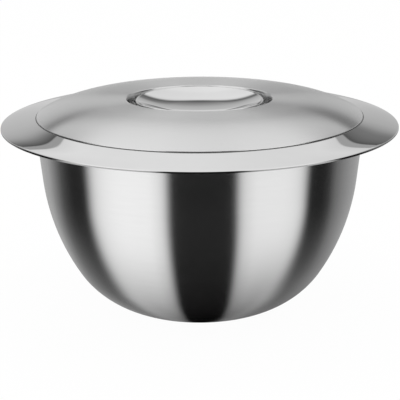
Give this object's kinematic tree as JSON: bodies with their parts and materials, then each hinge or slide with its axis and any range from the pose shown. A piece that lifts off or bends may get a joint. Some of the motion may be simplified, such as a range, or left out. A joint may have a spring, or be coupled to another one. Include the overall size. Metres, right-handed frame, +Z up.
{
  "type": "insulated serving bowl with lid",
  "caption": "Double-walled satin steel serving bowl with a wide sloping brim and a domed lift-off lid with a dished round grip over an oval finger well",
  "frame": {"origin": "centre of the foot, on the surface that the bowl stands on", "axes": "+Z up the bowl's axis, the finger wells of the lid lie along X, and -Y faces the viewer of the picture"},
  "size_m": [0.26, 0.26, 0.1402],
  "materials": {
    "satin_steel": "satin, brushed round the axis",
    "bright_steel": "mirror polished",
    "plain_steel": "cold rolled",
    "braze": "dull",
    "foam": "closed-cell foam",
    "silicone": "matte"
  },
  "bodies": {
    "bowl": {"outer_shell": "satin_steel", "inner_bowl": "bright_steel", "base_cover": "plain_steel", "vacuum_seal": "braze", "getter": "plain_steel"},
    "lid": {"lid_cover": "satin_steel", "lid_liner": "plain_steel", "lid_insulation": "foam", "lid_seal": "silicone", "grip_disc": "bright_steel", "grip_post": "plain_steel", "grip_studs": "plain_steel", "grip_washers": "plain_steel", "grip_nuts": "plain_steel"}
  },
  "joints": [
    {"name": "lid_lift", "type": "slide", "parent": "bowl", "child": "lid", "axis": [0, 0, 1], "range_m": [0, 0.15]}
  ]
}
